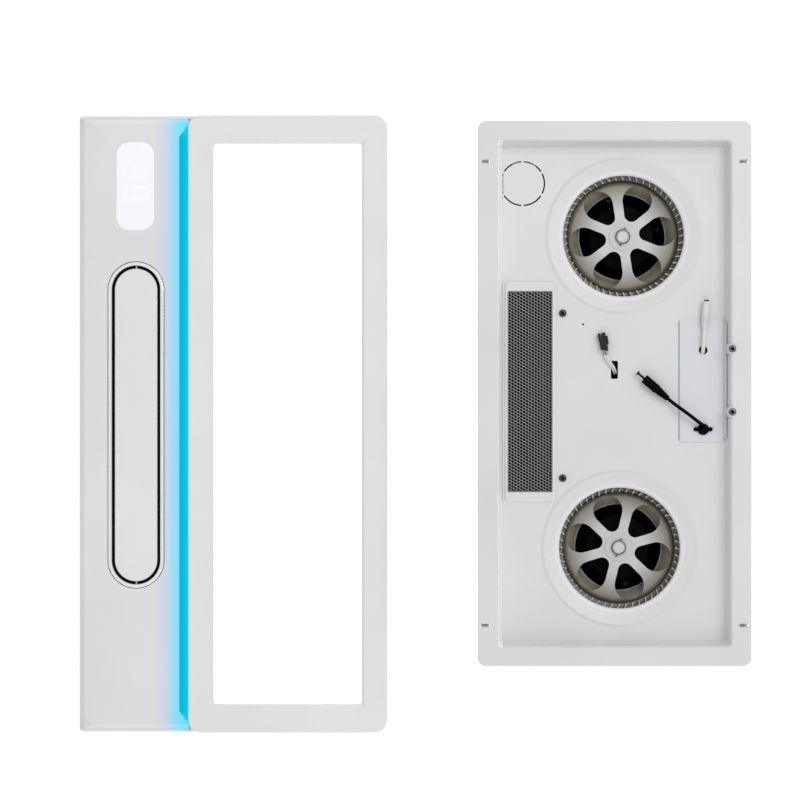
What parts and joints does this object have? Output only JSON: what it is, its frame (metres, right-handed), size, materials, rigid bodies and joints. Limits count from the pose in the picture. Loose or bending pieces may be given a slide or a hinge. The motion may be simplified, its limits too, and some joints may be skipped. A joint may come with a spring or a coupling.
{
  "type": "bathroom exhaust fan",
  "caption": "Ceiling bathroom unit with exhaust and warm-air blowers, tray housing, round duct collar and a taken-off face panel with lamp and air flap.",
  "frame": {"origin": "centre of the housing's back face, with the housing lying on its back", "axes": "+Z from the back towards the room side, +Y along the housing's length towards the exhaust collar, +X across it away from the face panel"},
  "size_m": [0.6464, 0.6, 0.1434],
  "materials": {
    "white_tray": "satin",
    "white_plate": "satin",
    "steel_sheet": "satin",
    "zinc": "satin",
    "dark_screw": "satin",
    "black_plastic": "matte",
    "grey_plastic": "matte",
    "impeller": "satin",
    "aluminium": "satin",
    "board": "satin",
    "component": "satin",
    "black_rubber": "matte",
    "white_lead": "satin",
    "chrome": "polished",
    "lens": "polished",
    "light_strip": "polished",
    "diffuser": "satin",
    "spring_steel": "satin"
  },
  "bodies": {
    "housing": {"tray": "white_tray", "rear_casing": "steel_sheet", "housing_screws": "zinc", "mounting_brackets": "zinc", "cable_gland": "black_plastic", "spring_clips": "spring_steel", "exhaust_scroll": "black_plastic", "heater_scroll": "black_plastic", "motor_plates": "zinc", "exhaust_motor": "steel_sheet", "heater_motor": "steel_sheet", "heater_duct": "black_plastic", "heater_frame": "black_plastic", "heater_elements": "aluminium", "outlet_grille": "dark_screw", "grille_screws": "dark_screw", "duct_collar": "white_tray", "damper_pin": "zinc", "control_box": "grey_plastic", "control_board": "board", "board_components": "component", "terminal_block": "white_plate", "control_cover": "white_tray", "cover_screws": "zinc", "dc_grommet": "black_rubber", "dc_lead": "black_rubber", "dc_plug": "black_rubber", "dc_plug_barrel": "chrome", "white_lead": "white_lead", "white_connector": "white_lead", "signal_wire_left": "white_lead", "signal_wire_right": "white_lead", "signal_connector": "black_plastic", "wire_holder": "black_plastic"},
    "exhaust_rotor": {"exhaust_wheel": "impeller", "exhaust_blades": "impeller", "exhaust_shaft": "zinc"},
    "heater_rotor": {"heater_wheel": "impeller", "heater_blades": "impeller", "heater_shaft": "zinc"},
    "damper_left": {"damper_flap_left": "white_tray"},
    "damper_right": {"damper_flap_right": "white_tray"},
    "panel": {"panel_base": "white_plate", "side_plate": "white_plate", "display_lens": "lens", "display_board": "board", "light_strip": "light_strip", "strip_light_board": "board", "lamp_frame": "white_plate", "lamp_diffuser": "diffuser", "lamp_reflector": "diffuser", "lamp_light_bars": "diffuser", "outlet_trim": "chrome", "outlet_throat": "black_plastic", "flap_motor": "grey_plastic", "panel_hooks": "spring_steel", "panel_sockets": "black_plastic", "panel_screws": "zinc"},
    "panel_flap": {"outlet_flap": "white_plate", "flap_pins": "zinc"}
  },
  "joints": [
    {"name": "exhaust_spin", "type": "hinge", "parent": "housing", "child": "exhaust_rotor", "pos_m": [0.0097, 0.1505, 0.08], "axis": [0, 0, 1], "continuous": true},
    {"name": "heater_spin", "type": "hinge", "parent": "housing", "child": "heater_rotor", "pos_m": [0.0059, -0.1478, 0.08], "axis": [0, 0, 1], "continuous": true},
    {"name": "damper_right_swing", "type": "hinge", "parent": "housing", "child": "damper_right", "pos_m": [0.063, 0.2425, 0.056], "axis": [0, 0, 1], "range_deg": [0, 80], "stiffness_Nm_per_rad": 0.002},
    {"name": "damper_left_swing", "type": "hinge", "parent": "housing", "child": "damper_left", "pos_m": [0.063, 0.2425, 0.056], "axis": [0, 0, -1], "range_deg": [0, 80], "stiffness_Nm_per_rad": 0.002},
    {"name": "panel_lift", "type": "slide", "parent": "housing", "child": "panel", "axis": [0, 0, 1], "range_m": [0, 0.12]},
    {"name": "flap_tilt", "type": "hinge", "parent": "panel", "child": "panel_flap", "pos_m": [-0.4609, -0.0305, 0.024], "axis": [0, 1, 0], "range_deg": [0, 80]}
  ],
  "couplings": [
    {"joint": "damper_left_swing", "follows": "damper_right_swing", "ratio": 1}
  ]
}
